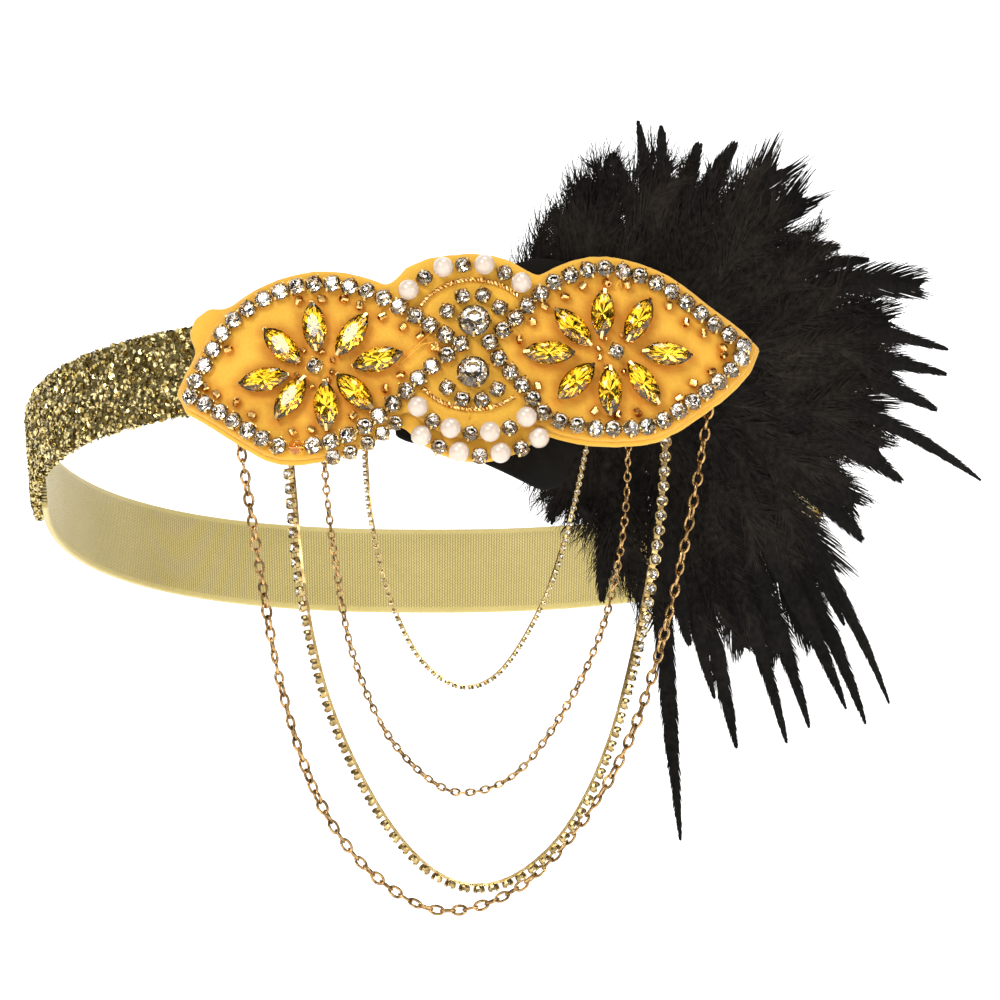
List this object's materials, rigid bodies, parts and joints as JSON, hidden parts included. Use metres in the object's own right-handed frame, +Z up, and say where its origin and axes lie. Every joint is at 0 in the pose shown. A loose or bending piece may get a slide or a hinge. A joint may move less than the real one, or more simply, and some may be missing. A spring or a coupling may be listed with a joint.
{
  "type": "flapper feather headband",
  "caption": "Stretch headband with a glitter strap, jewelled felt applique, swag chains and a side plume of black feathers.",
  "frame": {"origin": "centre of the loop, where the head goes through it", "axes": "+Z up as worn, -Y to the wearer's front, +X to the wearer's left, where the plume is"},
  "size_m": [0.1914, 0.189, 0.1516],
  "materials": {
    "glitter": "gold glitter flakes on a woven strap",
    "elastic": "woven gold metallic elastic",
    "felt": "smooth yellow felt, darker orange beside the stones",
    "rhinestone": "clear cut stones in gold claw settings",
    "topaz": "yellow cut stones in gold claw settings",
    "amber_glass": "amber glass bead",
    "pearl": "pearlescent",
    "antique_gold": "antique gold plate",
    "bright_gold": "light gold plate",
    "feather": "black fluff and pointed feathers"
  },
  "bodies": {
    "root": {"glitter_band": "glitter", "elastic_band": "elastic", "felt_backing": "felt", "felt_base": "felt", "left_stone_border": "rhinestone", "right_stone_border": "rhinestone", "amber_bead": "amber_glass", "left_petal_right": "topaz", "left_petal_upper_right": "topaz", "left_petal_top": "topaz", "left_petal_upper_left": "topaz", "left_petal_left": "topaz", "left_petal_lower_left": "topaz", "left_petal_bottom": "topaz", "left_petal_lower_right": "topaz", "left_flower_centre": "rhinestone", "right_petal_right": "topaz", "right_petal_upper_right": "topaz", "right_petal_top": "topaz", "right_petal_upper_left": "topaz", "right_petal_left": "topaz", "right_petal_lower_left": "topaz", "right_petal_bottom": "topaz", "right_petal_lower_right": "topaz", "right_flower_centre": "rhinestone", "upper_crystal": "rhinestone", "lower_crystal": "rhinestone", "upper_small_stones": "rhinestone", "lower_small_stones": "rhinestone", "upper_pearl_1": "pearl", "upper_pearl_2": "pearl", "upper_pearl_3": "pearl", "upper_pearl_4": "pearl", "upper_row_stone_1": "rhinestone", "upper_row_stone_2": "rhinestone", "upper_row_stone_3": "rhinestone", "lower_pearl_1": "pearl", "lower_pearl_2": "pearl", "lower_pearl_3": "pearl", "lower_pearl_4": "pearl", "lower_row_stone_1": "rhinestone", "lower_row_stone_2": "rhinestone", "lower_row_stone_3": "rhinestone", "hem_pearl_1": "pearl", "hem_pearl_2": "pearl", "hem_pearl_3": "pearl", "hem_pearl_4": "pearl", "hem_row_stone_1": "rhinestone", "hem_row_stone_2": "rhinestone", "hem_row_stone_3": "rhinestone", "outer_link_chain": "antique_gold", "cup_chain": "bright_gold", "small_link_chain": "antique_gold", "fine_cup_chain": "bright_gold", "plume": "feather"}
  },
  "joints": []
}
